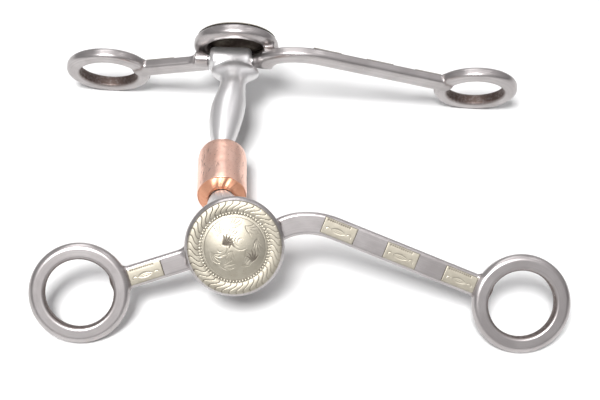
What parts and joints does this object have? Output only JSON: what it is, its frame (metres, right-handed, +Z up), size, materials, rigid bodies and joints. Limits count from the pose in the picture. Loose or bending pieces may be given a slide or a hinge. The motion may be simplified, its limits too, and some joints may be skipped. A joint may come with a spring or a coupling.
{
  "type": "curb bit",
  "caption": "Loose-cheek curb bit with a jointed mouthpiece, a copper roller over the joint, ringed steel shanks and engraved rope-edged conchos.",
  "frame": {"origin": "bottom centre of the bounding box, on the floor the bit lies on", "axes": "+X along the cheeks towards the rein rings, +Y from the right cheek to the left cheek, +Z up from the floor"},
  "size_m": [0.2035, 0.1722, 0.0525],
  "materials": {
    "steel": "satin polished stainless steel",
    "mouth_steel": "bright polished stainless steel",
    "pin_steel": "turned steel",
    "copper": "worn satin copper",
    "silver": "engraved German silver"
  },
  "bodies": {
    "right_arm": {"right_arm": "mouth_steel"},
    "left_arm": {"left_arm": "mouth_steel"},
    "joint_pin": {"joint_pin": "pin_steel"},
    "roller": {"roller": "copper"},
    "right_cheek": {"right_cheek": "steel", "right_hinge_pin": "pin_steel", "right_concho": "silver", "right_overlay_purchase": "silver", "right_overlay_upper": "silver", "right_overlay_middle": "silver", "right_overlay_lower": "silver"},
    "left_cheek": {"left_cheek": "steel", "left_hinge_pin": "pin_steel", "left_concho": "silver", "left_overlay_purchase": "silver", "left_overlay_upper": "silver", "left_overlay_middle": "silver", "left_overlay_lower": "silver"}
  },
  "joints": [
    {"name": "mouth_fold", "type": "hinge", "parent": "right_arm", "child": "left_arm", "pos_m": [-0.03086, -0.00095, 0.01603], "axis": [1, 0, 0], "range_deg": [-25, 2]},
    {"name": "pin_turn", "type": "hinge", "parent": "right_arm", "child": "joint_pin", "pos_m": [-0.03086, -0.00095, 0.01603], "axis": [1, 0, 0], "range_deg": [-13, 1.5]},
    {"name": "roller_spin", "type": "hinge", "parent": "joint_pin", "child": "roller", "pos_m": [-0.03086, -0.00095, 0.01603], "axis": [0, 1, 0], "continuous": true},
    {"name": "right_cheek_swing", "type": "hinge", "parent": "right_arm", "child": "right_cheek", "pos_m": [-0.02606, -0.0631, 0.03243], "axis": [1, 0, 0], "range_deg": [-42, 78]},
    {"name": "left_cheek_swing", "type": "hinge", "parent": "left_arm", "child": "left_cheek", "pos_m": [-0.02606, 0.0612, 0.03243], "axis": [0.9995, -0.0332, 0], "range_deg": [-78, 42]}
  ],
  "couplings": [
    {"joint": "pin_turn", "follows": "mouth_fold", "ratio": 0.5}
  ]
}
